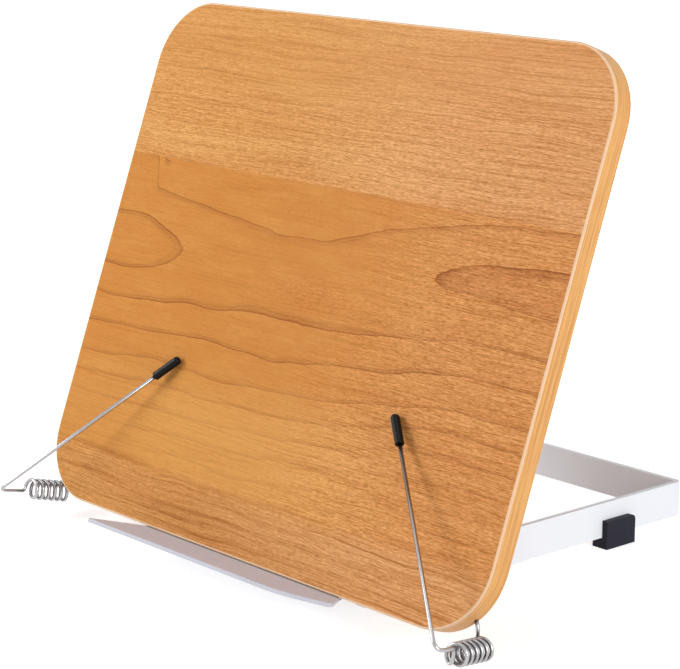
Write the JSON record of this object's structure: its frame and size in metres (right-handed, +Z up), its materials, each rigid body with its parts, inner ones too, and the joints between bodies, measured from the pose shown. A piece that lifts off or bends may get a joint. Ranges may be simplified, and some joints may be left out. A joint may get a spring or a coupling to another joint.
{
  "type": "tabletop book stand",
  "caption": "Wooden reading board hinged to a low steel U frame on rubber feet, with a bent page ledge and sprung wire page holders with soft caps.",
  "frame": {"origin": "On the table, under the middle of the whole stand.", "axes": "+X across the board to the reader's right, +Y to the back, +Z up."},
  "size_m": [0.3502, 0.2786, 0.2797],
  "materials": {
    "board_core": "plain fibreboard",
    "wood_laminate": "satin cherry-coloured wood grain laminate",
    "edge_band": "satin wood edge band with a paler rounded edge",
    "white_steel": "matte white powder coat",
    "foot_rubber": "matte black rubber",
    "cap_vinyl": "soft satin black vinyl",
    "polished_wire": "polished spring steel wire",
    "zinc_hardware": "bright zinc plated steel",
    "nylon": "natural nylon"
  },
  "bodies": {
    "base": {"base_frame": "white_steel", "foot_front_right": "foot_rubber", "foot_rear_right": "foot_rubber", "foot_front_left": "foot_rubber", "foot_rear_left": "foot_rubber", "hinge_bolt_right": "zinc_hardware", "friction_washer_right": "nylon", "spring_washers_right": "zinc_hardware", "lock_nut_right": "zinc_hardware", "hinge_bolt_left": "zinc_hardware", "friction_washer_left": "nylon", "spring_washers_left": "zinc_hardware", "lock_nut_left": "zinc_hardware"},
    "board": {"board_core": "board_core", "front_laminate": "wood_laminate", "back_laminate": "wood_laminate", "edge_band": "edge_band", "page_ledge": "white_steel", "ledge_screws": "zinc_hardware", "bracket_screws": "zinc_hardware", "hinge_bracket_right": "white_steel", "hinge_bracket_left": "white_steel", "holder_leg_right": "polished_wire", "holder_leg_left": "polished_wire"},
    "coil_right": {"holder_coil_right": "polished_wire"},
    "arm_right": {"holder_arm_right": "polished_wire", "holder_cap_right": "cap_vinyl"},
    "coil_left": {"holder_coil_left": "polished_wire"},
    "arm_left": {"holder_arm_left": "polished_wire", "holder_cap_left": "cap_vinyl"}
  },
  "joints": [
    {"name": "board_tilt", "type": "hinge", "parent": "base", "child": "board", "pos_m": [0, -0.08984, 0.0155], "axis": [1, 0, 0], "range_deg": [-69.7, 10]},
    {"name": "holder_swing_right", "type": "hinge", "parent": "board", "child": "coil_right", "pos_m": [0.1682, -0.11178, 0.01396], "axis": [0, 0.9379, -0.3468], "range_deg": [-10, 60], "stiffness_Nm_per_rad": 0.25, "deforming": ["holder_coil_right"]},
    {"name": "holder_lift_right", "type": "hinge", "parent": "coil_right", "child": "arm_right", "pos_m": [0.1682, -0.11178, 0.01396], "axis": [0.737, 0.2344, 0.634], "range_deg": [0, 25], "stiffness_Nm_per_rad": 0.25, "springref_deg": -8.02},
    {"name": "holder_swing_left", "type": "hinge", "parent": "board", "child": "coil_left", "pos_m": [-0.16745, -0.10987, 0.01443], "axis": [0, -0.9379, 0.3468], "range_deg": [-10, 60], "stiffness_Nm_per_rad": 0.25, "deforming": ["holder_coil_left"]},
    {"name": "holder_lift_left", "type": "hinge", "parent": "coil_left", "child": "arm_left", "pos_m": [-0.16745, -0.10987, 0.01443], "axis": [0.7246, -0.239, -0.6464], "range_deg": [0, 25], "stiffness_Nm_per_rad": 0.25, "springref_deg": -8.02}
  ]
}
